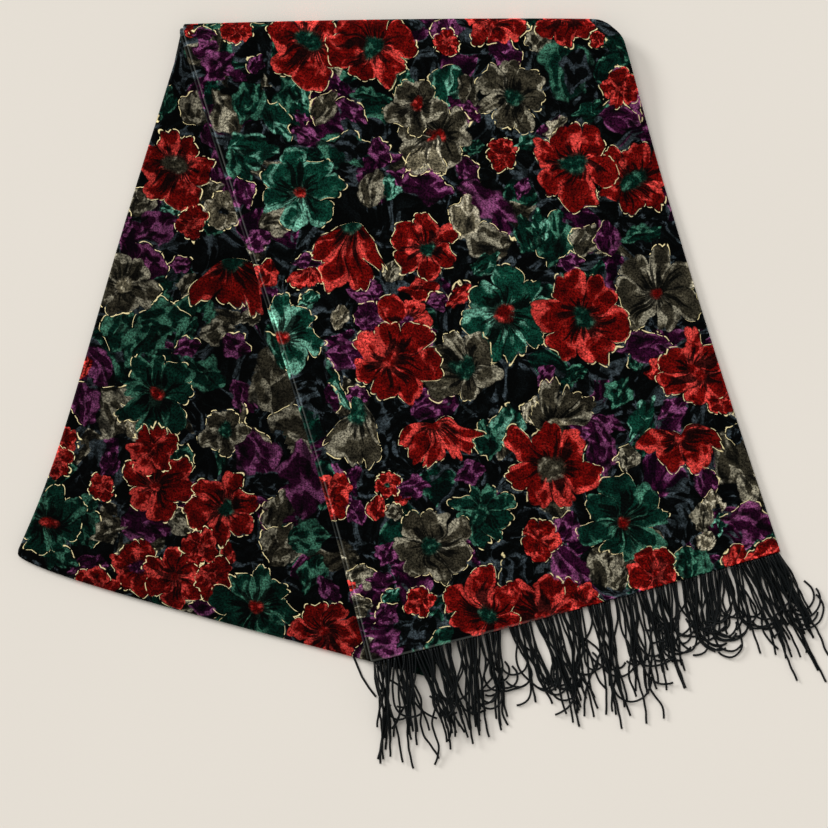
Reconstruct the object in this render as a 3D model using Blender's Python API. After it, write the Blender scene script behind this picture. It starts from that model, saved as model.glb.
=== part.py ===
# Velvet scarf, doubled end to end and then laid down in a V, with a cord fringe on its hems.
# Metres, +Z up. The floor is z = 0, the top fold runs along X and the hems point to -Y.
#
# The scarf is one long tube of velvet, so each stretch of it is a wall two plies thick.
# From the upper hem the cloth runs up the front, over the top fold and down the back on the
# floor. At the foot of the back it turns, comes up again as the back that shows, turns inside
# the top fold and runs down under the front to the lower hem.

import math
from collections import namedtuple

import bpy
import numpy as np

MM = 0.001

# Cloth
SCARF_WIDTH = 300 * MM
WALL = 2.6 * MM
SEAM_GAP = 0.3 * MM
LAYER = WALL + SEAM_GAP
EDGE_ROUNDING = 1.1 * MM
HEM_ROUNDING = 0.9 * MM
HEM_THINNING = 0.4
SHARP_ANGLE = math.radians(40)

# Top fold: the left end of its axis, its slope, and how its right end is rounded off
FOLD_LEFT_X = -164 * MM
FOLD_LEFT_Y = 270.3 * MM
FOLD_SLOPE = math.radians(0.7)
FOLD_LENGTH = 310.7 * MM
FOLD_CORNER = 14 * MM
CORNER_POWER = 12

# Each long edge starts at an end of the top fold. Its splay is from straight down, to the
# right, and its bow is how far it swells to the right, at a share of its length.
Edge = namedtuple("Edge", "length splay_deg bow bow_at")
FRONT_LEFT = Edge(length=465 * MM, splay_deg=16.7, bow=4.5 * MM, bow_at=0.65)
FRONT_RIGHT = Edge(length=388 * MM, splay_deg=16.9, bow=-3.0 * MM, bow_at=0.50)
BACK_LEFT = Edge(length=384 * MM, splay_deg=-17.6, bow=4.8 * MM, bow_at=0.78)
BACK_RIGHT = Edge(length=477 * MM, splay_deg=-16.2, bow=0.0 * MM, bow_at=0.50)

# A panel is the plan of one half: two long edges, and the bow of its end, away from the fold.
# The rows before the end take a share of its bow that grows by this power.
END_BOW_POWER = 3
Panel = namedtuple("Panel", "left right end_bow end_bow_at")
FRONT = Panel(left=FRONT_LEFT, right=FRONT_RIGHT, end_bow=2.0 * MM, end_bow_at=0.45)
BACK = Panel(left=BACK_LEFT, right=BACK_RIGHT, end_bow=6.5 * MM, end_bow_at=0.22)

# Radii of the rolls, inside and outside the wall
INNER_ROLL = WALL / 2 + SEAM_GAP
OUTER_ROLL = INNER_ROLL + LAYER
FOOT_ROLL = 0.6 * MM
FOLD_AXIS_HEIGHT = OUTER_ROLL + WALL
FOOT_AXIS_HEIGHT = FOOT_ROLL + WALL
FOLD_TAIL = 14 * MM
FOOT_TAIL = 8 * MM
TAIL_SLOPE_START = 2 * MM
FOOT_SLOPE_START = 12 * MM
TAIL_CLEARANCE = 0.9 * MM
INNER_END = 0.8 * MM

# How the layers settle away from the rolls, and down over the edge of the back
FOLD_REACH = 62 * MM
FOOT_REACH = 34 * MM
DROP_START = 15 * MM
DROP_REACH = 46 * MM

# Soft ridges in the two stretches that show: centre, direction from +X, half sizes and height
Ridge = namedtuple("Ridge", "x y turn_deg half_length half_width height")
FRONT_RIDGES = (
    Ridge(x=92 * MM, y=150 * MM, turn_deg=-62, half_length=95 * MM, half_width=26 * MM, height=1.8 * MM),
    Ridge(x=-40 * MM, y=60 * MM, turn_deg=-70, half_length=110 * MM, half_width=24 * MM, height=1.4 * MM),
    Ridge(x=175 * MM, y=20 * MM, turn_deg=-75, half_length=90 * MM, half_width=22 * MM, height=1.5 * MM),
    Ridge(x=95 * MM, y=-95 * MM, turn_deg=14, half_length=80 * MM, half_width=20 * MM, height=1.2 * MM),
)
BACK_RIDGES = (
    Ridge(x=-190 * MM, y=40 * MM, turn_deg=72, half_length=100 * MM, half_width=24 * MM, height=1.6 * MM),
    Ridge(x=-165 * MM, y=-85 * MM, turn_deg=-18, half_length=75 * MM, half_width=20 * MM, height=1.3 * MM),
)

# Rows and columns of the walls. The rows stand closer together near the top fold.
FRONT_ROWS = 20
BACK_ROWS = 18
ROW_CROWDING = 1.35
ROLL_ROWS = 7
COLUMNS = 17

# The stretch under the front shows past its left edge, and its hem lies a little higher
UNDER_LEFT = -2.4 * MM
UNDER_RIGHT = 1.5 * MM
UNDER_HEM = 0.994

# Fringe: a sewn heading strip, and cords that fan out from it in soft locks
HEADING_DEPTH = 1.0 * MM
HEADING_HEIGHT = 1.2 * MM
HEADING_INSET = 3 * MM
HEADING_OFFSET = HEM_ROUNDING + SEAM_GAP
HEADING_LIFT = 0.7 * MM
CORD_WIDTH = 1.15 * MM
CORD_HEIGHT = 1.0 * MM
CORD_SECTIONS = 6
CORDS_A_HEM = 76
FAN_DEG = (-13.0, 13.0)
Lock = namedtuple("Lock", "reach spacing phase_deg")
Fringe = namedtuple("Fringe", "lift root_lift lock sway sway_turns seed")
ROOT_REACH = 16 * MM
LOCK_POWER = 1.5
SWAY_SPACING = 130 * MM

# How far the cords reach at shares of the hem, and the shortest cord's part of that
Reach = namedtuple("Reach", "at length")
REACHES = (
    Reach(at=0.00, length=73 * MM),
    Reach(at=0.05, length=86 * MM),
    Reach(at=0.17, length=89 * MM),
    Reach(at=0.25, length=73 * MM),
    Reach(at=0.40, length=73 * MM),
    Reach(at=0.50, length=94 * MM),
    Reach(at=0.68, length=99 * MM),
    Reach(at=0.80, length=69 * MM),
    Reach(at=0.90, length=63 * MM),
    Reach(at=1.00, length=86 * MM),
)
SHORTEST_CORD = 0.80
UPPER_FRINGE = Fringe(
    lift=1.9 * MM,
    root_lift=LAYER + HEADING_LIFT,
    lock=Lock(reach=1.9 * MM, spacing=34 * MM, phase_deg=20),
    sway=2.4 * MM,
    sway_turns=1.3,
    seed=11,
)
LOWER_FRINGE = Fringe(
    lift=0.3 * MM,
    root_lift=HEADING_LIFT,
    lock=Lock(reach=1.7 * MM, spacing=27 * MM, phase_deg=140),
    sway=2.0 * MM,
    sway_turns=1.1,
    seed=23,
)

VELVET_COLOUR = (0.020, 0.026, 0.028, 1.0)
CORD_COLOUR = (0.010, 0.012, 0.013, 1.0)


def clear_scene():
    for thing in list(bpy.data.objects):
        bpy.data.objects.remove(thing)


def finish(name, colour, roughness):
    """A matt cloth material."""
    material = bpy.data.materials.new(name)
    material.use_nodes = True
    shader = material.node_tree.nodes["Principled BSDF"]
    shader.inputs["Base Color"].default_value = colour
    shader.inputs["Roughness"].default_value = roughness
    shader.inputs["Metallic"].default_value = 0.0
    return material


def smooth_fall(distance, start, reach):
    """1 up to start, then an even fall to 0 at start + reach."""
    share = min(max((distance - start) / reach, 0.0), 1.0)
    return 1.0 - share * share * (3.0 - 2.0 * share)


def swell(share, height, peak_at):
    """A bow that is 0 at both ends and highest at peak_at."""
    power = math.log(0.5) / math.log(peak_at)
    return height * math.sin(math.pi * min(max(share, 0.0), 1.0) ** power)


def downwards(splay_deg):
    """The unit vector down the picture, turned to the right by the splay."""
    splay = math.radians(splay_deg)
    return np.array((math.sin(splay), -math.cos(splay)))


def rightwards(splay_deg):
    splay = math.radians(splay_deg)
    return np.array((math.cos(splay), math.sin(splay)))


FOLD_LEFT = np.array((FOLD_LEFT_X, FOLD_LEFT_Y))
FOLD_ALONG = np.array((math.cos(FOLD_SLOPE), math.sin(FOLD_SLOPE)))
FOLD_OUT = np.array((-math.sin(FOLD_SLOPE), math.cos(FOLD_SLOPE)))
FOLD_RIGHT = FOLD_LEFT + FOLD_LENGTH * FOLD_ALONG


def edge_point(start, edge, t):
    along = downwards(edge.splay_deg) * edge.length * t
    return start + along + rightwards(edge.splay_deg) * swell(t, edge.bow, edge.bow_at)


def plan_point(panel, f, t):
    """The place on the floor plan at share f across a panel and share t down it."""
    left = edge_point(FOLD_LEFT, panel.left, t)
    right = edge_point(FOLD_RIGHT, panel.right, t)
    splay_deg = (panel.left.splay_deg + panel.right.splay_deg) / 2
    bow = swell(f, panel.end_bow, panel.end_bow_at) * t**END_BOW_POWER
    return left * (1 - f) + right * f + downwards(splay_deg) * bow


def end_out(panel):
    """The unit vector out of a panel's end."""
    line = plan_point(panel, 1, 1) - plan_point(panel, 0, 1)
    line = line / np.linalg.norm(line)
    return np.array((line[1], -line[0]))


FOOT_OUT = end_out(BACK)
HEM_OUT = end_out(FRONT)


def below_fold(place):
    return float(np.dot(FOLD_LEFT - place, FOLD_OUT))


def past_back_side(place):
    """How far a place lies to the right of the back's right edge."""
    return float(np.dot(place - FOLD_RIGHT, rightwards(BACK_RIGHT.splay_deg)))


def past_foot(place):
    """How far a place lies past the back's foot, whose bow is followed."""
    corner = plan_point(BACK, 0, 1)
    line = plan_point(BACK, 1, 1) - corner
    f = float(np.dot(place - corner, line) / np.dot(line, line))
    bow = swell(f, BACK.end_bow, BACK.end_bow_at)
    return float(np.dot(place - corner, FOOT_OUT)) - bow - FOOT_AXIS_HEIGHT


def fold_rise(place):
    """How much the turned-in tail of the front lifts all that lies on it near the top fold."""
    start = FOLD_TAIL + TAIL_SLOPE_START
    return LAYER * smooth_fall(below_fold(place), start, FOLD_REACH - FOLD_TAIL)


def foot_rise(place):
    """How much the roll at the foot of the back lifts what lies on it."""
    fullness = FOOT_AXIS_HEIGHT + FOOT_ROLL - LAYER
    return fullness * smooth_fall(-past_foot(place), FOOT_SLOPE_START, FOOT_REACH)


def over_back(place):
    """1 where the back's two layers lie beneath, falling to 0 past their edges."""
    past = max(past_back_side(place), past_foot(place))
    return smooth_fall(past, DROP_START, DROP_REACH)


def ridges_at(place, ridges):
    height = 0.0
    for ridge in ridges:
        turn = math.radians(ridge.turn_deg)
        dx, dy = place[0] - ridge.x, place[1] - ridge.y
        along = (dx * math.cos(turn) + dy * math.sin(turn)) / ridge.half_length
        across = (dy * math.cos(turn) - dx * math.sin(turn)) / ridge.half_width
        height += ridge.height * math.exp(-along * along - across * across)
    return height


# Height of the underside of each layer
def floor_back_height(place):
    return fold_rise(place)


def shown_back_height(place):
    return fold_rise(place) + LAYER + foot_rise(place)


def back_thickness(place):
    """The height of the back's two layers and of the ridges in them, falling off past its edges."""
    return over_back(place) * (2 * LAYER + foot_rise(place) + ridges_at(place, BACK_RIDGES))


def under_front_height(place):
    return fold_rise(place) + back_thickness(place)


def shown_front_height(place):
    return under_front_height(place) + LAYER


def flat_row(panel, t, height, ridges=(), turned_over=False, thin=1.0, out=0.0):
    """A row of a wall that lies flat: each share f across gives its inner and outer point."""

    def at(f):
        place = plan_point(panel, f, t) + end_out(panel) * out
        low = height(place) + ridges_at(place, ridges) + WALL * (1 - thin) / 2
        high = low + WALL * thin
        inner, outer = (high, low) if turned_over else (low, high)
        return np.array((*place, inner)), np.array((*place, outer))

    return at


def rolled_row(panel, t, out, axis_height, inner_radius, turn, corner=0.0):
    """A row of a wall that turns round a fold's axis. The fold's right end is rounded off."""

    def at(f):
        reach = math.sin(turn)
        depth = (inner_radius + WALL) * (1 - reach)
        inset = corner - math.sqrt(max(corner**2 - (corner - depth) ** 2, 0.0)) if depth < corner else 0.0
        place = plan_point(panel, f, t) - FOLD_ALONG * inset * f**CORNER_POWER
        points = []
        for radius in (inner_radius, inner_radius + WALL):
            spot = place + out * radius * reach
            points.append(np.array((*spot, axis_height + radius * math.cos(turn))))
        return points

    return at


def shares(start, stop, count):
    return [start + (stop - start) * i / (count - 1) for i in range(count)]


def rows_down(start, stop, count):
    """Shares down a panel, closer together near the fold."""
    return [start + (stop - start) * share**ROW_CROWDING for share in shares(0.0, 1.0, count)]


def wall(name, rows, material, first=0.0, last=1.0):
    """A closed cloth wall through its rows, with turned, rounded long edges."""
    inset = EDGE_ROUNDING / SCARF_WIDTH
    columns = shares(inset, 1.0 - inset, COLUMNS)
    columns[0], columns[-1] = first + inset, last - inset
    points, rings = [], []
    for row in rows:
        pairs = [row(f) for f in columns]
        left = sum(row(first)) / 2
        right = sum(row(last)) / 2
        ring = [left, *(outer for _, outer in pairs), right, *(inner for inner, _ in reversed(pairs))]
        rings.append(range(len(points), len(points) + len(ring)))
        points.extend(ring)
    faces = []
    size = len(rings[0])
    # Both sides of the wall are split along the same diagonal, so that layers nest
    for here, there in zip(rings, rings[1:]):
        for i in range(size):
            j = (i + 1) % size
            if i <= COLUMNS:
                faces += [(here[i], here[j], there[j]), (here[i], there[j], there[i])]
            else:
                faces += [(here[i], here[j], there[i]), (here[j], there[j], there[i])]
    for ring, turned in ((rings[0], True), (rings[-1], False)):
        for i in range(COLUMNS + 1):
            cap = [ring[i], ring[i + 1], ring[(size - i - 1) % size], ring[(size - i) % size]]
            cap = [v for k, v in enumerate(cap) if v not in cap[:k]]
            faces.append(tuple(reversed(cap)) if turned else tuple(cap))
    return add_object(name, points, faces, material)


def add_object(name, points, faces, material):
    mesh = bpy.data.meshes.new(name)
    mesh.from_pydata([tuple(p) for p in points], [], faces)
    mesh.validate()
    mesh.materials.append(material)
    mesh.shade_smooth()
    mesh.set_sharp_from_angle(angle=SHARP_ANGLE)
    thing = bpy.data.objects.new(name, mesh)
    bpy.context.scene.collection.objects.link(thing)
    return thing


def rolled_rows(panel, t, out, axis_height, inner_radius, corner=0.0):
    return [
        rolled_row(panel, t, out, axis_height, inner_radius, turn, corner)
        for turn in shares(0.0, math.pi, ROLL_ROWS + 2)[1:-1]
    ]


def build_front_stretch(material):
    """The front that shows, from its fringed hem over the top fold to a tail on the floor."""
    down = dict(panel=FRONT, height=shown_front_height, ridges=FRONT_RIDGES)
    rows = [flat_row(t=1.0, thin=HEM_THINNING, out=HEM_ROUNDING, **down)]
    rows += [flat_row(t=t, **down) for t in reversed(rows_down(0.0, 1.0, FRONT_ROWS))]
    rows += rolled_rows(FRONT, 0.0, FOLD_OUT, FOLD_AXIS_HEIGHT, OUTER_ROLL, FOLD_CORNER)
    for t in (0.0, FOLD_TAIL / BACK_LEFT.length):
        rows.append(flat_row(BACK, t, lambda place: 0.0, turned_over=True))
    return wall("front_stretch", rows, material)


def build_back_stretch(material):
    """The back that shows, from inside the top fold to its foot, turned under on the floor."""
    rows = [
        flat_row(BACK, t, shown_back_height, ridges=BACK_RIDGES)
        for t in rows_down(INNER_END / BACK_LEFT.length, 1.0, BACK_ROWS)
    ]
    rows += rolled_rows(BACK, 1.0, FOOT_OUT, FOOT_AXIS_HEIGHT, FOOT_ROLL)
    for t in (1.0, 1.0 - FOOT_TAIL / BACK_RIGHT.length):
        rows.append(flat_row(BACK, t, lambda place: 0.0, turned_over=True))
    # From the tail up, so that the faces turn outwards as those of the front do
    rows.reverse()
    return wall("back_stretch", rows, material)


def build_hidden_layers(material):
    """What lies between: the stretch under the front, the inner turn and the one on the floor."""
    last = 1.0 - (FOOT_TAIL + TAIL_CLEARANCE) / BACK_LEFT.length
    down = dict(panel=FRONT, height=under_front_height)
    rows = [flat_row(t=UNDER_HEM, thin=HEM_THINNING, out=HEM_ROUNDING, **down)]
    rows += [flat_row(t=min(t, UNDER_HEM), **down) for t in reversed(rows_down(0.0, 1.0, FRONT_ROWS))]
    rows += rolled_rows(FRONT, 0.0, FOLD_OUT, FOLD_AXIS_HEIGHT, INNER_ROLL)
    for t in rows_down(0.0, last, BACK_ROWS):
        rows.append(flat_row(BACK, t, floor_back_height, turned_over=True))
    first = UNDER_LEFT / SCARF_WIDTH
    return wall("hidden_layers", rows, material, first, 1.0 - UNDER_RIGHT / SCARF_WIDTH)


def cord_course(fringe, f, length, hem_share):
    """The points along one cord's underside, from the heading to its tip."""
    fan = math.radians(FAN_DEG[0] * (1 - f) + FAN_DEG[1] * f)
    along = SCARF_WIDTH * f
    lock_turn = 2 * math.pi * along / fringe.lock.spacing + math.radians(fringe.lock.phase_deg)
    root = plan_point(FRONT, f, hem_share) + HEM_OUT * (HEADING_OFFSET + HEADING_DEPTH)
    hem_right = np.array((-HEM_OUT[1], HEM_OUT[0]))
    course = []
    for share in shares(0.0, 1.0, CORD_SECTIONS + 1)[1:]:
        run = length * share
        sideways = run * math.tan(fan) + fringe.lock.reach * share**LOCK_POWER * math.sin(lock_turn)
        sway_turns = fringe.sway_turns * share + along / SWAY_SPACING
        sideways += fringe.sway * share * math.sin(2 * math.pi * sway_turns)
        place = root + HEM_OUT * run + hem_right * sideways
        settled = smooth_fall(run, 0.0, ROOT_REACH)
        lift = fringe.lift + (fringe.root_lift - fringe.lift) * settled
        course.append(np.array((*place, back_thickness(place) + lift)))
    return course


def build_fringe(name, fringe, hem_share, material):
    """A heading strip parted from the hem, with three-sided cords that grow out of its face."""
    rng = np.random.default_rng(fringe.seed)
    inset = HEADING_INSET / SCARF_WIDTH
    bottom_f = shares(inset, 1 - inset, CORDS_A_HEM + 1)
    half = (bottom_f[1] - bottom_f[0]) / 2
    top_f = [bottom_f[0], *(f + half for f in bottom_f[:-1]), bottom_f[-1]]
    points, faces = [], []

    def heading_point(f, depth, height):
        place = plan_point(FRONT, f, hem_share) + HEM_OUT * (HEADING_OFFSET + depth)
        base = back_thickness(place) + fringe.root_lift
        points.append(np.array((*place, base + height)))
        return len(points) - 1

    near_low = [heading_point(f, 0, 0) for f in bottom_f]
    far_low = [heading_point(f, HEADING_DEPTH, 0) for f in bottom_f]
    near_high = [heading_point(f, 0, HEADING_HEIGHT) for f in top_f]
    far_high = [heading_point(f, HEADING_DEPTH, HEADING_HEIGHT) for f in top_f]
    for k in range(CORDS_A_HEM):
        faces.append((near_low[k], near_low[k + 1], far_low[k + 1], far_low[k]))
        faces.append((near_low[k + 1], near_low[k], near_high[k + 1]))
    for k in range(CORDS_A_HEM + 1):
        faces.append((near_high[k + 1], near_high[k], far_high[k], far_high[k + 1]))
        faces.append((near_low[k], near_high[k], near_high[k + 1]))
        faces.append((far_low[k], far_high[k + 1], far_high[k]))
    faces.append((near_low[0], far_low[0], far_high[0], near_high[0]))
    faces.append((far_low[-1], near_low[-1], near_high[-1], far_high[-1]))

    for k in range(CORDS_A_HEM):
        f = bottom_f[k] + half
        reach = np.interp(f, [r.at for r in REACHES], [r.length for r in REACHES])
        course = cord_course(fringe, f, reach * rng.uniform(SHORTEST_CORD, 1.0), hem_share)
        section = (far_low[k], far_low[k + 1], far_high[k + 1])
        before = (points[far_low[k]] + points[far_low[k + 1]]) / 2
        for i, here in enumerate(course):
            ahead = course[i + 1] if i + 1 < len(course) else here
            run = ahead - before
            side = np.array((-run[1], run[0], 0.0))
            side = side / np.linalg.norm(side) * CORD_WIDTH / 2
            ring = []
            for corner in (here - side, here + side, here + np.array((0, 0, CORD_HEIGHT))):
                points.append(corner)
                ring.append(len(points) - 1)
            for a, b in ((0, 1), (1, 2), (2, 0)):
                faces.append((section[a], section[b], ring[b], ring[a]))
            section, before = ring, here
        faces.append(tuple(section))
    return add_object(name, points, faces, material)


def main():
    clear_scene()
    velvet = finish("velvet", VELVET_COLOUR, 0.85)
    cord = finish("cord", CORD_COLOUR, 0.45)
    build_front_stretch(velvet)
    build_back_stretch(velvet)
    build_hidden_layers(velvet)
    build_fringe("fringe_upper", UPPER_FRINGE, 1.0, cord)
    build_fringe("fringe_lower", LOWER_FRINGE, UNDER_HEM, cord)


main()
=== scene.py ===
import math
import random
from functools import partial

import bpy
import numpy as np
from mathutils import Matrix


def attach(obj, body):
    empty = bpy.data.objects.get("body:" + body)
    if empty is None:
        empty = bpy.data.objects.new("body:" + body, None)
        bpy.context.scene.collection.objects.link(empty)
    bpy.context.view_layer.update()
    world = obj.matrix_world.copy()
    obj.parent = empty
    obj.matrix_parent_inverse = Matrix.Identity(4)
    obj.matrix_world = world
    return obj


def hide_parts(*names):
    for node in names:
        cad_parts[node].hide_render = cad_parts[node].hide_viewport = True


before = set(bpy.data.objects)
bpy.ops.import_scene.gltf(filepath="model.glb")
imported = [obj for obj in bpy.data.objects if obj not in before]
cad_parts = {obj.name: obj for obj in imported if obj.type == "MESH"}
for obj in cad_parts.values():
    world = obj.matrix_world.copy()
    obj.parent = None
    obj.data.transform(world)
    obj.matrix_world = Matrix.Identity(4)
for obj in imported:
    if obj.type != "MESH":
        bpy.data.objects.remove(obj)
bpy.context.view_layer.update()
bpy.ops.object.select_all(action="DESELECT")
mm = 0.001
wholeTurn = 6.2832

# How the scarf lies, in mm, as the solids have it, but for the corner and bow of the fold, which
# are finer here. An edge runs down from an end of the top fold: its splay is to the right of
# straight down, and it bows to the right by bow at bowAt.
scarf = {
    "width": 300, "wall": 2.6, "gap": 0.3, "edgeRound": 1.3,
    "foldLeft": (-164, 270.3), "foldSlope": 0.7, "foldLength": 310.7, "foldCorner": 21, "foldBow": 1.6,
    "rollInner": 1.6, "rollOuter": 4.5, "foldHeight": 7.1,
    "footRoll": 0.6, "footHeight": 3.2, "foldTail": 14, "footTail": 8,
    "foldReach": 62, "footReach": 34, "dropStart": 15, "dropReach": 46, "cornerPower": 12,
    "underLeft": -2.4, "underRight": 1.5, "underHem": 0.994, "backTuck": 3.6, "turnPrint": 20,
}
front = {
    "left": {"length": 465, "splay": 16.7, "bow": 4.5, "bowAt": 0.65},
    "right": {"length": 388, "splay": 16.9, "bow": -3.0, "bowAt": 0.50},
    "endBow": 2.0, "endBowAt": 0.45,
}
back = {
    "left": {"length": 384, "splay": -17.6, "bow": 4.8, "bowAt": 0.78},
    "right": {"length": 477, "splay": -16.2, "bow": 0.0, "bowAt": 0.50},
    "endBow": 6.5, "endBowAt": 0.22,
}
# Soft ridges where the cloth doesn't lie quite flat: x, y, direction, half length, half width, height
frontRidges = [
    (92, 150, -62, 95, 26, 1.8),
    (-40, 60, -70, 110, 24, 1.4),
    (175, 20, -75, 90, 22, 1.5),
    (95, -95, 14, 80, 20, 1.2),
]
backRidges = [
    (-190, 40, 72, 100, 24, 1.6),
    (-165, -85, -18, 75, 20, 1.3),
]
layer = scarf["wall"] + scarf["gap"]


def smoothFall(distance, start, reach):
    share = np.clip((distance - start) / reach, 0, 1)
    return 1 - share * share * (3 - 2 * share)


def swell(share, height, peakAt):
    power = math.log(0.5) / math.log(peakAt)
    return height * np.sin(math.pi * np.clip(share, 0, 1) ** power)


def downwards(splay):
    return np.array((math.sin(math.radians(splay)), -math.cos(math.radians(splay))))


def rightwards(splay):
    return np.array((math.cos(math.radians(splay)), math.sin(math.radians(splay))))


foldLeft = np.array(scarf["foldLeft"], float)
foldAlong = rightwards(scarf["foldSlope"])
foldOut = np.array((-foldAlong[1], foldAlong[0]))
foldRight = foldLeft + scarf["foldLength"] * foldAlong


def edgePlace(start, edge, t):
    t = np.asarray(t, float)[..., None]
    bow = swell(t, edge["bow"], edge["bowAt"])
    return start + downwards(edge["splay"]) * edge["length"] * t + rightwards(edge["splay"]) * bow


def planPlace(panel, f, t):
    f, t = np.broadcast_arrays(np.asarray(f, float), np.asarray(t, float))
    splay = (panel["left"]["splay"] + panel["right"]["splay"]) / 2
    bow = swell(f, panel["endBow"], panel["endBowAt"]) * t**3
    rise = scarf["foldBow"] * 4 * np.maximum(f * (1 - f), 0) * np.exp(-25 * t)
    left, right = edgePlace(foldLeft, panel["left"], t), edgePlace(foldRight, panel["right"], t)
    place = left * (1 - f[..., None]) + right * f[..., None]
    return place + downwards(splay) * bow[..., None] + foldOut * rise[..., None]


def endOut(panel):
    line = planPlace(panel, 1, 1) - planPlace(panel, 0, 1)
    return np.array((line[1], -line[0])) / np.linalg.norm(line)


footOut, hemOut = endOut(back), endOut(front)


def pastFoot(place):
    corner = planPlace(back, 0, 1)
    line = planPlace(back, 1, 1) - corner
    f = (place - corner) @ line / (line @ line)
    return (place - corner) @ footOut - swell(f, back["endBow"], back["endBowAt"]) - scarf["footHeight"]


def foldRise(place):
    reach = scarf["foldReach"] - scarf["foldTail"]
    return layer * smoothFall((foldLeft - place) @ foldOut, scarf["foldTail"] + 2, reach)


def footRise(place):
    rise = scarf["footHeight"] + scarf["footRoll"] - layer
    return rise * smoothFall(-pastFoot(place), 12, scarf["footReach"])


def overBack(place):
    past = np.maximum((place - foldRight) @ rightwards(back["right"]["splay"]), pastFoot(place))
    return smoothFall(past, scarf["dropStart"], scarf["dropReach"])


def ridgesAt(place, ridges):
    height = 0.0
    for x, y, turn, halfLength, halfWidth, rise in ridges:
        way = rightwards(turn)
        off = place - np.array((x, y))
        along, across = off @ way / halfLength, off @ np.array((-way[1], way[0])) / halfWidth
        height = height + rise * np.exp(-along**2 - across**2)
    return height


def backThickness(place):
    return overBack(place) * (2 * layer + footRise(place) + ridgesAt(place, backRidges))


def shownBackHeight(place):
    return foldRise(place) + layer + footRise(place)


def underFrontHeight(place):
    return foldRise(place) + backThickness(place)


def shownFrontHeight(place):
    return underFrontHeight(place) + layer


# Velvet never lies dead flat: small soft waves in the upper ply, from a few crossing swells
def softWaves(place, seed, sizes=((64, 0.30), (27, 0.16), (11, 0.05))):
    rng = random.Random(seed)
    height = 0.0
    for length, rise in sizes:
        for _ in range(4):
            way = rightwards(rng.uniform(0, 180))
            bend = rightwards(rng.uniform(0, 180))
            phase = rng.uniform(0, 6.28) + 1.3 * np.sin(place @ bend / length * 2.1)
            height = height + rise / 2 * np.sin(place @ way * 6.283 / length + phase)
    return height


# How the rounded corner at the right end of the fold draws a row in, at a depth below the fold
def cornerIn(f, depth):
    corner = scarf["foldCorner"]
    inset = corner - math.sqrt(corner**2 - (corner - depth) ** 2) if depth < corner else 0
    return foldAlong * inset * (np.clip(f, 0, 1) ** scarf["cornerPower"])[:, None]


# A row of a flat stretch, and a row of a roll. Each gives, at shares f across, the wall's inner and
# outer points, their places on the print, rolled out flat, how far the row is from the end of the
# cloth, which sets the painted highlight near the hem and the fold, and its nap shading: a factor of
# painted highlight or shade on the pile's colour.
def flatRow(
    panel, t, height, ridges=(), turnedOver=False, thin=1.0, out=0.0, waves=None, margin=99, tuck=0.0,
):
    depth = scarf["rollOuter"] + scarf["wall"] + t * panel["left"]["length"]

    def row(f):
        place = planPlace(panel, f + tuck * (1 - f), t) + endOut(panel) * out
        place = place - cornerIn(f, depth)
        low = height(place) + ridgesAt(place, ridges) + scarf["wall"] * (1 - thin) / 2
        high = low + scarf["wall"] * thin
        if waves:
            high = high + waves(place)
        inner, outer = (high, low) if turnedOver else (low, high)
        over = (0, 2 * foldLeft[1] + scarf["turnPrint"])  # the print carries on past the fold
        printed = place * (1, -1) + over if turnedOver else place
        return np.column_stack((place, inner)), np.column_stack((place, outer)), printed, margin, 1.0
    return row


def rollRow(panel, t, out, axisHeight, innerRadius, turn):
    outerRadius = innerRadius + scarf["wall"]
    depth = scarf["rollOuter"] + scarf["wall"] - outerRadius * math.sin(turn)

    def row(f):
        place = planPlace(panel, f, t)
        if t == 0:
            place = place - cornerIn(f, depth)
        points = []
        for radius in (innerRadius, outerRadius):
            spot = place + out * radius * math.sin(turn)
            height = np.full(len(f), axisHeight + radius * math.cos(turn))
            points.append(np.column_stack((spot, height)))
        # Painted highlight: the fold's pile colour is made lighter where the fold faces out, and its
        # margin of 1.6 mm gives it a little of the edge highlight too
        nap = 1 + 1.5 * max(0, math.sin(turn) - 0.75) / 0.25  # lighter where the fold faces out
        return *points, place + out * outerRadius * turn, 1.6, nap
    return row


def rollRows(panel, t, out, axisHeight, innerRadius, count):
    turns = np.linspace(0, math.pi, count + 2)[1:-1]
    return [rollRow(panel, t, out, axisHeight, innerRadius, turn) for turn in turns]


def onFloor(place):
    return 0 * place[:, 0]


# The tube of cloth as it lies: one ring of points round both plies for each row. Its nap shading holds
# the painted highlight or shade on the pile's colour, and how far the row is on the left half, where
# the edges show a paler parted pile with painted sheen.
def tubeOfCloth(name, rows, columns, first=0.0, last=1.0):
    inset = scarf["edgeRound"] / scarf["width"]
    across = np.linspace(inset, 1 - inset, columns)
    across[0], across[-1] = first + inset, last - inset
    turns = np.array((0.25, 0.5, 0.75)) * math.pi
    f = np.concatenate((
        across, last - inset + inset * np.sin(turns),
        across[::-1], first + inset - inset * np.sin(turns),
    ))
    w = np.concatenate((
        np.ones(columns), (1 + np.cos(turns)) / 2, np.zeros(columns), (1 - np.cos(turns)) / 2,
    ))
    points, printed, edges, napShading = [], [], [], []
    for row in rows:
        inner, outer, onPrint, margin, nap = row(f)
        points.append(inner + (outer - inner) * w[:, None])
        printed.append(onPrint)
        # The distance to the side edges, or to the hem or fold, within which the pile's colour is
        # painted lighter as highlight
        edges.append(np.minimum(np.minimum(f - first, last - f) * scarf["width"], margin))
        napShading.append(np.column_stack((np.full(len(f), nap), np.clip(3 - 6 * f, 0, 1), 0 * f)))
    ring, count = len(f), len(rows)
    at = np.arange(ring * count).reshape(count, ring)
    here, there = at[:-1], at[1:]
    quads = np.stack((here, np.roll(here, -1, 1), np.roll(there, -1, 1), there), -1).reshape(-1, 4)
    mesh = bpy.data.meshes.new(name)
    mesh.from_pydata(np.concatenate(points) * mm, [], quads.tolist())
    mesh.shade_smooth()
    cloth = bpy.data.objects.new(name, mesh)
    bpy.context.scene.collection.objects.link(cloth)
    return cloth, np.concatenate(printed), np.concatenate(edges), np.concatenate(napShading)


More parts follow.
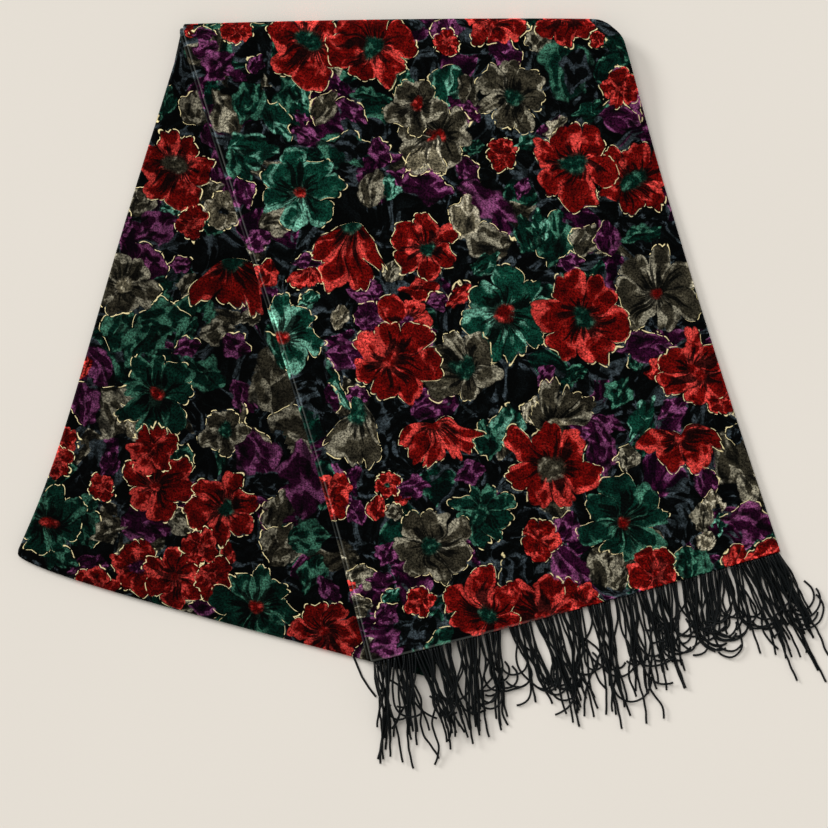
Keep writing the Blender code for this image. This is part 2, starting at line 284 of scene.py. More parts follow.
print("cloth forms")
# nap: painted shade, a factor on the pile's colour, low on the back half; grey: how much of the paler
# parted pile and painted sheen the left edges take
sheets = {
    "front": {"rows": 156, "columns": 101, "rollRows": 11, "nap": 0.88, "grey": 1.0},
    "back": {"rows": 150, "columns": 101, "rollRows": 7, "nap": 0.54, "grey": 0.15},
    "inner": {"rows": 70, "columns": 41, "rollRows": 9, "nap": 0.85, "grey": 0.3},
    "ply": 0.8,
}


def frontWaves(place):
    return softWaves(place, 4)


# The waves die out where the front lies on the back
def backWaves(place):
    clear = smoothFall((place - foldLeft) @ rightwards(front["left"]["splay"]), -26, 18)
    return softWaves(place, 9) * clear


def frontRows():
    kit = sheets["front"]
    down = dict(panel=front, height=shownFrontHeight, ridges=frontRidges, waves=frontWaves)
    # The hem row, with a margin of 0, takes the painted highlight along the hem
    rows = [flatRow(front, 1.0, shownFrontHeight, frontRidges, thin=0.80, out=0.4, margin=0)]
    for t in np.linspace(0.998, 0, kit["rows"]):
        rows.append(flatRow(t=t, margin=(1 - t) * front["left"]["length"], **down))
    rows += rollRows(front, 0, foldOut, scarf["foldHeight"], scarf["rollOuter"], kit["rollRows"])
    for share in np.linspace(0, 1, 5):
        t = share * scarf["foldTail"] / back["left"]["length"]
        rows.append(flatRow(back, t, onFloor, turnedOver=True))
    return rows


def backRows():
    kit = sheets["back"]
    down = dict(panel=back, height=shownBackHeight, ridges=backRidges, waves=backWaves)
    rows = [flatRow(t=t, **down) for t in np.linspace(0.002, 1, kit["rows"])]
    rows += rollRows(back, 1, footOut, scarf["footHeight"], scarf["footRoll"], kit["rollRows"])
    for share in np.linspace(0, 1, 4):
        t = 1 - share * scarf["footTail"] / back["right"]["length"]
        rows.append(flatRow(back, t, onFloor, turnedOver=True))
    return rows[::-1]


def innerRows():
    kit = sheets["inner"]
    last = 1 - (scarf["footTail"] + 0.9) / back["left"]["length"]
    down = dict(panel=front, height=underFrontHeight)
    rows = [flatRow(front, scarf["underHem"], underFrontHeight, thin=0.66, out=1.0)]
    rows += [flatRow(t=t, **down) for t in np.linspace(scarf["underHem"] - 0.002, 0, kit["rows"])]
    rows += rollRows(front, 0, foldOut, scarf["foldHeight"], scarf["rollInner"], kit["rollRows"])
    for t in np.linspace(0, last, kit["rows"]):
        tuck = min(t * 10, 1) * scarf["backTuck"] / scarf["width"]
        rows.append(flatRow(back, t, foldRise, turnedOver=True, tuck=tuck))
    return rows


# The print, read off in units of the picture's own grid, 828 wide, and drawn afresh.
# Flowers: x, y, radius, petals, spread in degrees to each side, turn, dye, heart.
# Those further down the list lie over those above.
grid = {"unit": 0.711, "middle": 414}
# Dark, middle and light tones of the printed pile
dyes = [
    ("#260101", "#6c0906", "#e24841"), ("#010b09", "#052a20", "#477f68"),
    ("#100f0b", "#3b372b", "#a09a85"), ("#0d010c", "#340a28", "#8c4a78"),
    ("#010202", "#050809", "#3a444a"), ("#26231a", "#7a725c", "#d0c7ad"),
    ("#021410", "#0b3b2d", "#74b39b"),
]
red, green, taupe, purple, slate, cream, mint = range(len(dyes))
dyeSteps = 8  # the ramps hold the dyes at eighths
frontFlowers = [
    (495, 22, 32, 6, 180, 10, red, red), (566, 18, 33, 6, 180, 60, red, red),
    (308, 42, 46, 6, 180, 10, red, green), (370, 46, 46, 6, 180, 40, red, green),
    (512, 98, 40, 7, 180, 15, taupe, green), (434, 136, 46, 5, 180, 50, taupe, red),
    (430, 138, 42, 7, 46, -98, cream, red), (416, 106, 34, 5, 180, 20, taupe, red),
    (302, 190, 44, 7, 180, 25, mint, red), (352, 218, 70, 14, 52, -97, red, green),
    (427, 248, 37, 6, 180, 5, red, green), (632, 180, 44, 6, 180, 50, red, green),
    (572, 164, 46, 6, 180, 15, red, green), (655, 292, 49, 7, 180, 5, taupe, red),
    (508, 318, 54, 8, 180, 30, mint, red), (582, 319, 52, 6, 180, 25, red, green),
    (282, 338, 48, 7, 180, 15, mint, red), (307, 270, 25, 7, 75, -90, red, red),
    (461, 367, 45, 6, 180, 15, taupe, green), (372, 318, 20, 4, 180, 0, purple, purple),
    (404, 328, 35, 6, 180, 35, red, purple), (394, 361, 47, 7, 180, 20, red, red),
    (722, 396, 24, 5, 180, 40, red, red), (695, 370, 46, 6, 180, 5, red, red),
    (352, 404, 62, 11, 46, -84, taupe, green), (437, 423, 50, 12, 88, -84, red, red),
    (562, 430, 52, 12, 76, 92, taupe, cream), (550, 467, 52, 7, 180, 15, red, taupe),
    (682, 426, 50, 8, 88, -88, red, red), (481, 515, 34, 9, 180, 10, green, green),
    (626, 524, 48, 8, 180, 35, green, red), (432, 546, 44, 7, 180, 5, taupe, green),
    (540, 540, 23, 5, 180, 25, red, red), (580, 604, 28, 5, 180, 25, red, red),
    (540, 616, 42, 6, 180, 45, red, red), (484, 611, 46, 6, 180, 5, red, green),
    (655, 572, 29, 5, 180, 20, red, red), (328, 496, 26, 5, 180, 75, red, red),
    (236, 31, 18, 5, 180, 15, red, red), (447, 45, 14, 5, 180, 55, red, red),
    (501, 156, 17, 5, 180, 5, red, red), (621, 90, 21, 5, 180, 65, red, red),
    (597, 40, 10, 4, 180, 25, red, red), (388, 486, 14, 5, 180, 0, red, green),
    (420, 600, 18, 5, 180, 35, red, red),
]
backFlowers = [
    (126, 284, 34, 5, 180, 10, taupe, cream), (224, 212, 22, 5, 180, 60, cream, slate),
    (174, 165, 43, 6, 180, 20, red, taupe), (238, 254, 66, 12, 62, -88, red, green),
    (157, 393, 46, 8, 180, 15, green, red), (60, 440, 22, 5, 180, 30, red, red),
    (58, 464, 18, 5, 180, 0, red, red), (225, 431, 28, 5, 180, 25, taupe, green),
    (158, 484, 37, 6, 180, 10, red, red), (153, 448, 29, 6, 180, 40, red, red),
    (225, 507, 40, 6, 180, 45, red, green), (52, 522, 40, 7, 180, 5, green, red),
    (138, 566, 29, 6, 180, 25, red, purple), (174, 576, 35, 6, 180, 65, red, red),
    (214, 578, 22, 5, 180, 15, red, red), (200, 546, 20, 5, 180, 5, red, red),
    (256, 606, 48, 8, 180, 10, green, red), (325, 630, 38, 6, 180, 30, red, red),
    (96, 587, 25, 5, 180, 35, red, red), (192, 223, 18, 5, 180, 15, red, red),
    (104, 486, 15, 5, 180, 35, red, red),
]
# Leaves and single petals: x, y, half length, width against length, turn, dye
frontLeaves = [
    (197, 30, 14, 0.6, 0, red), (214, 27, 12, 0.6, 0, green), (205, 36, 14, 0.5, 0, purple),
    (206, 50, 15, 0.6, 5, purple), (218, 68, 21, 0.7, 40, purple), (240, 78, 16, 0.3, -10, purple),
    (256, 66, 11, 0.7, 60, purple), (236, 26, 30, 0.3, 0, green), (267, 94, 17, 0.5, 100, taupe),
    (226, 114, 27, 0.7, -60, taupe), (250, 102, 22, 0.8, 70, green), (292, 104, 28, 0.7, -60, green),
    (302, 94, 18, 0.4, -70, mint), (276, 122, 24, 0.5, -60, mint), (252, 152, 26, 0.7, -5, mint),
    (240, 170, 22, 0.5, -70, green), (245, 195, 18, 0.6, -70, purple), (325, 110, 20, 0.6, 60, taupe),
    (352, 112, 19, 0.5, -35, purple), (368, 96, 18, 0.5, 0, green), (306, 136, 15, 0.6, -20, purple),
    (348, 150, 32, 0.55, -12, green), (352, 148, 23, 0.55, -12, slate),
    (380, 152, 15, 0.7, -60, purple), (372, 190, 22, 0.7, 80, taupe), (391, 188, 16, 0.6, 80, mint),
    (404, 178, 16, 0.6, -20, purple), (403, 84, 16, 0.7, 60, green), (396, 66, 14, 0.6, 90, green),
    (449, 92, 28, 0.8, 70, mint), (468, 92, 18, 0.6, 95, taupe), (467, 113, 15, 0.7, -40, purple),
    (447, 30, 17, 0.9, 90, purple), (504, 54, 20, 0.6, -40, purple), (538, 40, 15, 0.8, 60, taupe),
    (566, 68, 38, 0.62, 88, green), (574, 70, 24, 0.62, 84, slate), (618, 48, 18, 0.5, -50, green),
    (630, 92, 36, 0.2, -72, purple), (618, 118, 27, 0.5, -15, purple), (556, 128, 16, 0.5, 40, cream),
    (528, 144, 18, 0.4, 10, mint), (590, 112, 18, 0.5, 20, green), (425, 186, 27, 0.6, -15, purple),
    (466, 168, 19, 0.5, -50, purple), (486, 202, 36, 0.45, -30, purple),
    (522, 190, 13, 0.6, 70, purple), (474, 148, 12, 0.6, 20, green), (448, 128, 20, 0.8, 80, taupe),
    (487, 243, 28, 0.6, -10, taupe), (555, 240, 28, 0.8, 80, green), (528, 235, 20, 0.7, 110, green),
    (540, 226, 16, 0.5, 100, mint), (585, 240, 20, 0.7, 60, taupe), (608, 240, 18, 0.7, 100, purple),
    (570, 263, 14, 0.6, 10, purple), (642, 234, 22, 0.5, 20, green), (280, 222, 20, 0.8, 10, taupe),
    (258, 240, 16, 0.7, 30, purple), (308, 264, 14, 0.6, 0, purple), (266, 275, 16, 0.8, 60, red),
    (393, 272, 14, 0.8, 60, taupe), (365, 292, 21, 0.6, 0, purple), (421, 290, 20, 0.6, 0, red),
    (460, 296, 18, 0.5, 40, red), (437, 303, 12, 0.7, 0, purple), (310, 301, 12, 0.7, 20, mint),
    (340, 318, 13, 0.7, 60, cream), (346, 355, 23, 0.7, -10, purple), (338, 386, 28, 0.2, -60, mint),
    (332, 398, 15, 0.4, -70, purple), (358, 396, 13, 0.7, 0, purple), (428, 408, 20, 0.6, 20, purple),
    (545, 375, 13, 0.7, 60, purple), (575, 374, 12, 0.7, 20, green), (637, 360, 14, 0.6, 60, green),
    (645, 347, 31, 0.45, 5, purple), (660, 368, 18, 0.6, 30, red), (618, 394, 18, 0.7, 60, green),
    (642, 420, 24, 0.5, 65, mint), (533, 412, 14, 0.8, 80, cream), (582, 424, 20, 0.6, -20, purple),
    (606, 424, 18, 0.6, -15, purple), (672, 410, 19, 0.6, 35, purple), (601, 450, 25, 0.6, 100, purple),
    (628, 458, 14, 0.9, 90, taupe), (506, 428, 24, 0.7, 70, mint), (487, 440, 20, 0.7, 100, green),
    (735, 462, 36, 0.6, -60, taupe), (756, 490, 23, 0.8, -45, taupe), (736, 433, 12, 0.8, 80, slate),
    (704, 483, 19, 0.6, -70, purple), (712, 505, 15, 0.7, 100, cream), (718, 524, 12, 0.7, 90, mint),
    (701, 518, 14, 0.8, 100, taupe), (704, 540, 12, 0.8, 60, cream), (751, 523, 29, 0.6, -10, purple),
    (566, 528, 18, 0.8, 60, purple), (570, 572, 36, 0.5, -60, purple), (603, 566, 24, 0.75, 100, taupe),
    (626, 570, 18, 0.8, 60, taupe), (691, 565, 21, 0.9, 90, green), (736, 560, 17, 0.7, 60, red),
    (765, 553, 21, 0.6, 12, red), (338, 450, 14, 0.6, 60, slate), (356, 512, 17, 0.6, 110, purple),
    (378, 508, 13, 0.8, 90, red), (402, 497, 9, 0.9, 0, red), (394, 512, 10, 0.8, 0, taupe),
    (412, 488, 18, 0.6, 10, purple), (470, 472, 17, 0.7, 30, purple), (343, 556, 24, 0.4, -68, taupe),
    (362, 577, 19, 0.6, 8, taupe), (358, 606, 18, 0.6, 10, taupe), (350, 586, 7, 0.9, 0, red),
    (386, 554, 14, 0.7, 60, purple), (381, 581, 14, 0.7, 0, purple), (391, 596, 11, 0.6, 40, mint),
    (386, 614, 15, 0.7, 40, purple), (391, 643, 24, 0.6, 15, purple), (412, 634, 20, 0.6, 40, slate),
    (480, 580, 18, 0.6, 50, taupe), (440, 640, 20, 0.5, 50, green), (512, 575, 24, 0.5, 100, slate),
    (466, 218, 22, 0.7, 80, cream), (486, 266, 17, 0.6, 40, mint),
]
backLeaves = [
    (192, 52, 12, 0.6, 90, green), (196, 108, 20, 0.9, 80, taupe), (165, 102, 20, 0.5, 72, green),
    (218, 138, 22, 0.6, -60, purple), (221, 172, 26, 0.45, -80, purple),
    (212, 180, 14, 0.4, -85, purple), (206, 192, 18, 0.6, 20, taupe), (140, 202, 18, 0.8, 60, taupe),
    (170, 210, 11, 0.7, 0, mint), (156, 228, 24, 0.8, 30, purple), (124, 226, 13, 0.7, 60, purple),
    (150, 264, 24, 0.7, -50, purple), (181, 265, 12, 0.7, 10, purple), (216, 227, 15, 0.6, 0, green),
    (160, 293, 24, 0.6, 20, green), (188, 286, 13, 0.8, 60, taupe), (122, 330, 24, 0.8, 60, green),
    (196, 312, 24, 0.8, 75, green), (162, 322, 30, 0.7, 10, green), (140, 344, 26, 0.7, 60, green),
    (186, 334, 18, 0.6, 60, green), (218, 331, 20, 0.6, 15, taupe), (188, 348, 14, 0.7, 20, purple),
    (236, 346, 16, 0.8, -30, purple), (98, 366, 24, 0.7, -60, purple), (84, 368, 14, 0.5, 70, red),
    (206, 374, 24, 0.7, -40, green), (86, 403, 24, 0.7, 90, purple), (118, 412, 30, 0.7, -60, taupe),
    (130, 424, 20, 0.6, -70, cream), (244, 398, 20, 0.6, -70, purple), (272, 388, 40, 0.55, 88, taupe),
    (294, 434, 30, 0.8, -20, taupe), (256, 440, 40, 0.2, -65, cream), (182, 460, 20, 0.6, -70, green),
    (256, 454, 30, 0.7, -60, purple), (303, 484, 42, 0.6, -85, purple),
    (146, 522, 26, 0.8, -20, purple), (182, 521, 16, 0.8, -40, taupe), (84, 528, 26, 0.7, -60, green),
    (92, 502, 14, 0.7, 30, green), (108, 532, 20, 0.5, 15, taupe), (111, 464, 14, 0.7, 60, purple),
    (277, 512, 22, 0.6, 70, taupe), (281, 546, 24, 0.85, 60, taupe), (308, 538, 22, 0.9, 10, green),
    (313, 574, 22, 0.7, 70, green), (92, 567, 21, 0.6, 15, purple), (229, 556, 17, 0.4, 95, red),
    (186, 602, 14, 0.7, 10, taupe), (208, 603, 18, 0.7, 10, purple), (270, 484, 18, 0.7, 0, slate),
    (330, 590, 18, 0.5, -60, purple), (232, 620, 16, 0.7, -10, green), (276, 350, 22, 0.3, -60, mint),
    (60, 556, 22, 0.5, -20, green), (250, 318, 12, 0.7, 20, taupe),
]


def onCloth(x, y):
    return (x - grid["middle"]) * grid["unit"], (grid["middle"] - y) * grid["unit"]


# How many flowers and leaves a face can carry, how far one reaches against its radius, a fan
# behind its foot and a leaf past its side, the place and make of none at all, and the seeds
printSlots = {
    "flowers": 3, "leaves": 3, "reach": 1.32, "fanBack": 0.3, "leafSide": 0.4,
    "away": 9.0, "none": (5.05, 4.0, 40.0), "seeds": 40,
}


# Writes, for each corner of each face, its place in the frames of the flowers and leaves that
# reach the face, so that the shader can draw them sharply. The uppermost comes first. The third
# number holds the dye and the seed, and a flower's first the petals and the heart's dye.
def layPrint(cloth, printed, flowers, leaves):
    mesh = cloth.data
    count = len(mesh.polygons)
    corners = np.zeros(count * 4, int)
    mesh.loops.foreach_get("vertex_index", corners)
    cornerPlace = printed[corners].reshape(count, 4, 2)
    middle = cornerPlace.mean(1)
    half = np.linalg.norm(cornerPlace - middle[:, None], axis=2).max(1)
    slots = printSlots
    kinds = (("flower", flowers, slots["flowers"]), ("leaf", leaves, slots["leaves"]))
    for kind, motifs, howMany in kinds:
        table = np.array([onCloth(m[0], m[1]) for m in motifs])
        radii = np.array([m[2] for m in motifs]) * grid["unit"]
        turns = np.radians([m[5] if kind == "flower" else m[4] for m in motifs])
        off = (middle[:, None] - table[None]) / radii[None, :, None]
        near = half[:, None] / radii[None]
        along = off[..., 0] * np.cos(turns) + off[..., 1] * np.sin(turns)
        across = off[..., 1] * np.cos(turns) - off[..., 0] * np.sin(turns)
        reaches = np.hypot(along, across) < slots["reach"] + near
        if kind == "flower":
            whole = np.array([m[4] for m in motifs]) == 180
            reaches &= whole | (along > -slots["fanBack"] - near)
        else:
            widths = np.array([m[3] for m in motifs])
            reaches &= np.abs(across) < widths + slots["leafSide"] + near
        for slot in range(howMany):
            found = reaches.any(1)
            top = len(motifs) - 1 - reaches[:, ::-1].argmax(1)
            place = np.full((count, 4, 3), slots["away"])
            shape = np.full((count, 3), slots["none"])
            for k, motif in enumerate(motifs):
                mine = found & (top == k)
                if not mine.any():
                    continue
                turn = math.radians(motif[5] if kind == "flower" else motif[4])
                off = (cornerPlace[mine] - table[k]) / radii[k]
                place[mine, :, 0] = off[..., 0] * math.cos(turn) + off[..., 1] * math.sin(turn)
                place[mine, :, 1] = off[..., 1] * math.cos(turn) - off[..., 0] * math.sin(turn)
                dye = motif[6] if kind == "flower" else motif[5]
                place[mine, :, 2] = dye + ((k * 23) % 37 + 1) / slots["seeds"]
                if kind == "flower":
                    spread = 4 if motif[4] == 180 else math.radians(motif[4])
                    shape[mine] = (motif[3] + 0.05 + motif[7] / 10, spread, radii[k])
                else:
                    shape[mine] = (motif[3], 0, radii[k])
            for label, domain, values in ((kind, "CORNER", place), (kind + "Shape", "FACE", shape)):
                written = mesh.attributes.new(f"{label}{slot}", "FLOAT_VECTOR", domain)
                written.data.foreach_set("vector", values.reshape(-1))
            reaches[np.arange(count)[found], top[found]] = False
        print("  faces with more than the slots of", kind, int(reaches.any(1).sum()), "of", count)


# The pile lies down the cloth, so on the back half, past the fold, it leans the other way in the light;
# its colour is painted darker there, as painted shade
def finishCloth(name, rows, kit, flowers, leaves, node, first=0.0, last=1.0):
    cloth, printed, edges, napShading = tubeOfCloth(name, rows, kit["columns"], first, last)
    layPrint(cloth, printed, flowers, leaves)
    grounds = np.column_stack((printed, edges))
    for label, values in (("ground", grounds), ("nap", napShading * (kit["nap"], kit["grey"], 0))):
        written = cloth.data.attributes.new(label, "FLOAT_VECTOR", "POINT")
        written.data.foreach_set("vector", values.reshape(-1))
    ply = cloth.modifiers.new("ply", "SOLIDIFY")
    ply.thickness = sheets["ply"] * mm
    ply.offset = -1
    bpy.context.view_layer.objects.active = cloth
    cloth.select_set(True)
    bpy.ops.object.modifier_apply(modifier="ply")
    cloth.select_set(False)
    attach(cloth, "root")
    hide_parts(node)
    return cloth


frontCloth = finishCloth(
    "frontCloth", frontRows(), sheets["front"], frontFlowers, frontLeaves, "front_stretch",
)
backCloth = finishCloth(
    "backCloth", backRows(), sheets["back"], backFlowers, backLeaves, "back_stretch",
)
innerCloth = finishCloth(
    "innerCloth", innerRows(), sheets["inner"], frontFlowers, frontLeaves, "hidden_layers",
    scarf["underLeft"] / scarf["width"], 1 - scarf["underRight"] / scarf["width"],
)

print("fringe")
# Sizes in mm. The bundles that the cords fall into: where along the hem, degrees to the right of
# straight down, length, and the share of cords that turn back at the end
fringe = {
    "radius": 0.76, "sides": 4, "step": 2.2, "upperEach": 7, "lowerEach": 6, "bundleWidth": 0.056,
    "lengths": (0.70, 1.06), "longShare": 0.12, "longer": 1.15, "fall": 9,
    "strayShare": 0.28, "straySwing": (0.2, 0.5), "swing": (0.04, 0.20), "kink": (0.02, 0.10),
    "curl": (0.05, 0.14), "curlFrom": (0.42, 0.74), "mostCurl": 3.6, "gather": 0.30,
    "bundles": [
        (0.03, 2, 72, 0.1), (0.08, 8, 70, 0.15), (0.13, 17, 74, 0.15), (0.165, 15, 68, 0.3),
        (0.235, 7, 78, 0.35), (0.29, 9, 72, 0.3), (0.36, 17, 70, 0.5), (0.425, 19, 76, 0.3),
        (0.485, 12, 74, 0.25), (0.555, 12, 86, 0.2), (0.62, 11, 80, 0.2), (0.675, 15, 76, 0.3),
        (0.72, 9, 60, 0.9), (0.78, 8, 64, 0.95), (0.83, 5, 64, 0.95), (0.875, 14, 66, 0.7),
        (0.92, 25, 80, 0.2), (0.96, 25, 84, 0.2), (0.985, 30, 70, 0.1),
    ],
}


# One cord's way: out from the hem with its bundle, then down onto the floor or the cords below.
# Some stray from the bundle, and some turn back at the end.
def cordWay(rng, across, bundle, hemShare, lift, level):
    middle, lean, length, turnsBack = bundle
    across += rng.uniform(-0.06, 0.06)
    f = min(max(middle + across * fringe["bundleWidth"], 0.008), 0.992)
    place = planPlace(front, f, hemShare) + hemOut * 0.4
    startHeight = float(backThickness(place[None])[0]) + lift
    length *= rng.uniform(*fringe["lengths"])
    length *= fringe["longer"] if rng.random() < fringe["longShare"] else 1
    stray = rng.random() < fringe["strayShare"]
    own = rng.gauss(0, 0.24 if stray else 0.07)
    swing = rng.uniform(*fringe["straySwing" if stray else "swing"])
    phase, wave = rng.uniform(0, 6.28), rng.uniform(34, 76)
    kink, kinkPhase = rng.uniform(*fringe["kink"]), rng.uniform(0, 6.28)
    curl, curlFrom = 0.0, length
    if rng.random() < turnsBack:
        curl = rng.choice((-1, 1)) * rng.uniform(*fringe["curl"])
        curlFrom = length * rng.uniform(*fringe["curlFrom"])
        length *= rng.uniform(1.0, 1.15)
    points = [(*place, startHeight)]
    turned = 0.0
    for i in range(1, int(length / fringe["step"]) + 1):
        run = i * fringe["step"]
        share = run / length
        gather = -across * fringe["gather"] * math.exp(-((run - 18) / 16) ** 2)
        turn = math.radians(lean - 90) + own * min(1, run / 30) + gather
        turn += swing * math.sin(run / wave * 6.283 + phase) * min(1, run / 24)
        turn += kink * math.sin(run / 11 * 6.283 + kinkPhase) * min(1, run / 20)
        if run > curlFrom and abs(turned) < fringe["mostCurl"]:
            turned += curl * fringe["step"] * min(1, (run - curlFrom) / 8)
        turn += turned
        place = place + np.array((math.cos(turn), math.sin(turn))) * fringe["step"]
        under = float(backThickness(place[None])[0])
        drop = math.exp(-run / fringe["fall"])
        lie = fringe["radius"] + 0.05 + level * (0.35 + 0.65 * (1 - share)) + under
        height = lie * (1 - drop) + startHeight * drop
        points.append((*place, max(height, under + fringe["radius"] + 0.02)))
    return np.array(points)


# Joins many cords into one mesh, each a closed tube with a coordinate along and around it
def cordMesh(name, ways):
    verts, faces, along = [], [], []
    sides = fringe["sides"]
    for way in ways:
        start = len(verts)
        tangent = np.gradient(way, axis=0)
        tangent /= np.linalg.norm(tangent, axis=1)[:, None]
        side = np.cross(tangent, (0, 0, 1))
        side /= np.linalg.norm(side, axis=1)[:, None]
        up = np.cross(side, tangent)
        run = np.concatenate(((0,), np.cumsum(np.linalg.norm(np.diff(way, axis=0), axis=1))))
        for i in range(len(way)):
            for k in range(sides):
                turn = wholeTurn * k / sides
                off = side[i] * math.cos(turn) + up[i] * math.sin(turn)
                verts.append(way[i] + fringe["radius"] * off)
                along.append((run[i], k / sides, 0))
        for i in range(len(way) - 1):
            for k in range(sides):
                a, b = start + i * sides + k, start + i * sides + (k + 1) % sides
                faces.append((a, b, b + sides, a + sides))
        faces.append(tuple(start + k for k in reversed(range(sides))))
        faces.append(tuple(start + (len(way) - 1) * sides + k for k in range(sides)))
    mesh = bpy.data.meshes.new(name)
    mesh.from_pydata([tuple(v * mm) for v in verts], [], faces)
    mesh.shade_smooth()
    attribute = mesh.attributes.new("cord", "FLOAT_VECTOR", "POINT")
    attribute.data.foreach_set("vector", np.array(along).reshape(-1))
    cords = bpy.data.objects.new(name, mesh)
    bpy.context.scene.collection.objects.link(cords)
    return cords


def fringeWays(seed, count, hemShare, lift, levels):
    rng = random.Random(seed)
    ways = []
    for bundle in fringe["bundles"]:
        for k in range(count):
            across, level = (k + 0.5) / count - 0.5, rng.uniform(*levels)
            ways.append(cordWay(rng, across, bundle, hemShare, lift, level))
    return ways


upperWays = fringeWays(5, fringe["upperEach"], 1.0, layer + 1.3, (1.6, 5.0))
lowerWays = fringeWays(8, fringe["lowerEach"], scarf["underHem"], 1.3, (0.0, 2.4))
# One stray cord creeps out from under the foot of the back
strayPlaces = ((349, 640), (352, 652), (357, 664), (362, 676), (369, 687), (376, 696))
strayWay = np.array([(*onCloth(x, y), 0.66) for x, y in strayPlaces])
upperFringe = cordMesh("upperFringe", upperWays)
lowerFringe = cordMesh("lowerFringe", lowerWays + [strayWay])
for cords, node in ((upperFringe, "fringe_upper"), (lowerFringe, "fringe_lower")):
    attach(cords, "root")
    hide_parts(node)

print("materials")
mainSetting = {
    "Math": "operation", "VectorMath": "operation", "Mix": "data_type",
    "TexNoise": "noise_dimensions", "TexWhiteNoise": "noise_dimensions",
}


def linear(colour):
    channels = [int(colour[i:i + 2], 16) / 255 for i in (1, 3, 5)]
    return tuple(c / 12.92 if c <= 0.04045 else ((c + 0.055) / 1.055) ** 2.4 for c in channels) + (1.0,)


# Links or sets a node's inputs, given in their order or by name
def feed(tree, node, inputs):
    for key, value in inputs.items() if isinstance(inputs, dict) else enumerate(inputs):
        if isinstance(value, bpy.types.NodeSocket):
            tree.links.new(value, node.inputs[key])
        elif value is not None:
            node.inputs[key].default_value = value


# Adds a node with its settings and links, and gives the wanted output. The kind may name its main
# setting too, as in "Math ADD". A noise takes place, w, scale, detail and roughness.
def addNode(tree, kind, inputs=(), out=0, **settings):
    kind, _, choice = kind.partition(" ")
    node = tree.nodes.new("ShaderNode" + kind)
    if choice:
        settings[mainSetting[kind]] = choice
    for key, value in settings.items():
        setattr(node, key, value)
    feed(tree, node, inputs)
    return node.outputs[out] if out is not None else node


# A new material: its tree, what adds nodes to it, and its shader
def startMaterial(name):
    material = bpy.data.materials.new(name)
    material.use_nodes = True
    tree = material.node_tree
    return material, tree, partial(addNode, tree), tree.nodes["Principled BSDF"]


# A new group with its sockets: its tree, what adds nodes to it, what it takes, and its last node
def startGroup(name, wanted, given):
    tree = bpy.data.node_groups.new(name, "ShaderNodeTree")
    for label, kind in wanted:
        tree.interface.new_socket(label, in_out="INPUT", socket_type="NodeSocket" + kind)
    for label, kind in given:
        tree.interface.new_socket(label, in_out="OUTPUT", socket_type="NodeSocket" + kind)
    taken, given = tree.nodes.new("NodeGroupInput").outputs, tree.nodes.new("NodeGroupOutput")
    return tree, partial(addNode, tree), taken, given


# A dye's dark, middle and light tones, mixed by how light the pile lies
def dyed(put, dye, tone):
    place = put("Math ADD", (dye, 0.5))
    place = put("Math DIVIDE", (place, dyeSteps))
    tones = []
    for k in range(3):
        node = put("ValToRGB", (place,), out=None)
        ramp = node.color_ramp
        ramp.interpolation = "CONSTANT"
        for i, dyeTones in enumerate(dyes):
            element = ramp.elements[i] if i < 2 else ramp.elements.new(i / dyeSteps)
            element.position = i / dyeSteps
            element.color = linear(dyeTones[k])
        tones.append(node.outputs[0])
    low = put("MapRange", (tone, 0.0, 0.5))
    high = put("MapRange", (tone, 0.5, 1.0))
    mixed = put("Mix RGBA", {0: low, 6: tones[0], 7: tones[1]}, out=2)
    return put("Mix RGBA", {0: high, 6: mixed, 7: tones[2]}, out=2)


# A motif's own frame: its place, the same place shifted by its seed for the noises, its dye and
# its seed
def motifFrame(put, place):
    apart = put("SeparateXYZ", (place,), out=None).outputs
    dye = put("Math FLOOR", (apart[2],))
    seed = put("Math FRACT", (apart[2],))
    seed = put("Math MULTIPLY", (seed, printSlots["seeds"]))
    seed = put("Math ROUND", (seed,))
    flat = put("VectorMath MULTIPLY", (place, (1, 1, 0)))
    shift = put("VectorMath SCALE", {0: (3.3, 1.7, 0), 3: seed})
    shifted = put("VectorMath ADD", (flat, shift))
    return flat, shifted, dye, seed


def wobbled(put, flat, shifted, scale, size):
    wobble = put("TexNoise 2D", (shifted, None, scale, 0.6), out=1)
    wobble = put("VectorMath SUBTRACT", (wobble, (0.5, 0.5, 0.5)))
    wobble = put("VectorMath SCALE", {0: wobble, 3: size})
    bent = put("VectorMath ADD", (flat, wobble))
    return put("VectorMath MULTIPLY", (bent, (1, 1, 0)))


# The gold thread: a line about a millimetre outside the outline, in dashes along run
def threadLine(put, inside, size, run, shown):
    thread = put("Math MULTIPLY_ADD", (inside, size, 0.9))
    thread = put("Math ABSOLUTE", (thread,))
    thread = put("MapRange", (thread, 0.12, 0.46, 1.0, 0.0))
    dash = put("Math MULTIPLY", (run, put("Math MULTIPLY", (size, 0.85))))
    dash = put("Math SINE", (dash,))
    dash = put("MapRange", (dash, -0.85, -0.55))
    dash = put("Math MULTIPLY", (dash, shown))
    return put("Math MULTIPLY", (thread, dash))


blackPile = "#020303"
cellEdges = {"feature": "DISTANCE_TO_EDGE", "voronoi_dimensions": "2D"}
motifSockets = (
    (("Place", "Vector"), ("Shape", "Vector")),
    (("Colour", "Color"), ("Mask", "Float"), ("Gold", "Float")),
)


